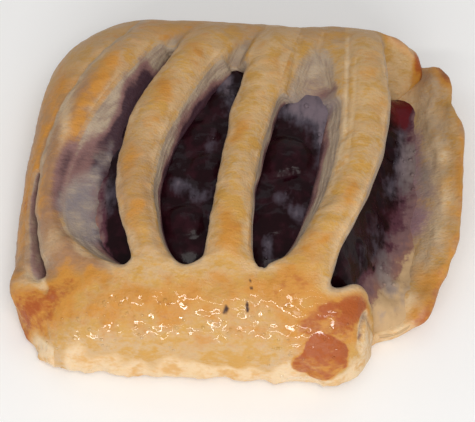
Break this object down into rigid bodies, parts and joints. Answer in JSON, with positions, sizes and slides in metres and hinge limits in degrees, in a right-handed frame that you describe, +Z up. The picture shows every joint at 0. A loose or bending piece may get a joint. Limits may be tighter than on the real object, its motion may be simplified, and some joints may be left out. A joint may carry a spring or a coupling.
{
  "type": "blueberry lattice pastry",
  "caption": "Baked fruit pastry: a slit top sheet of golden dough folded down over a mound of dark blueberry filling on a bottom sheet, open along one side.",
  "frame": {"origin": "on the table under the middle of the pastry, on the flat underside of the bottom sheet", "axes": "+X across the strips, towards the open side; -Y towards the glazed front roll; +Z up"},
  "size_m": [0.121, 0.1071, 0.0382],
  "materials": {
    "pale_crust": "dry baked dough, pale cream browning to tan at the rim",
    "baked_crust": "golden brown crust with an egg glaze, semi-gloss to gloss",
    "blueberry_jam": "wet, glossy, near-black purple"
  },
  "bodies": {
    "root": {"bottom_sheet": "pale_crust", "lattice_top": "baked_crust", "blueberry_filling": "blueberry_jam"}
  },
  "joints": []
}
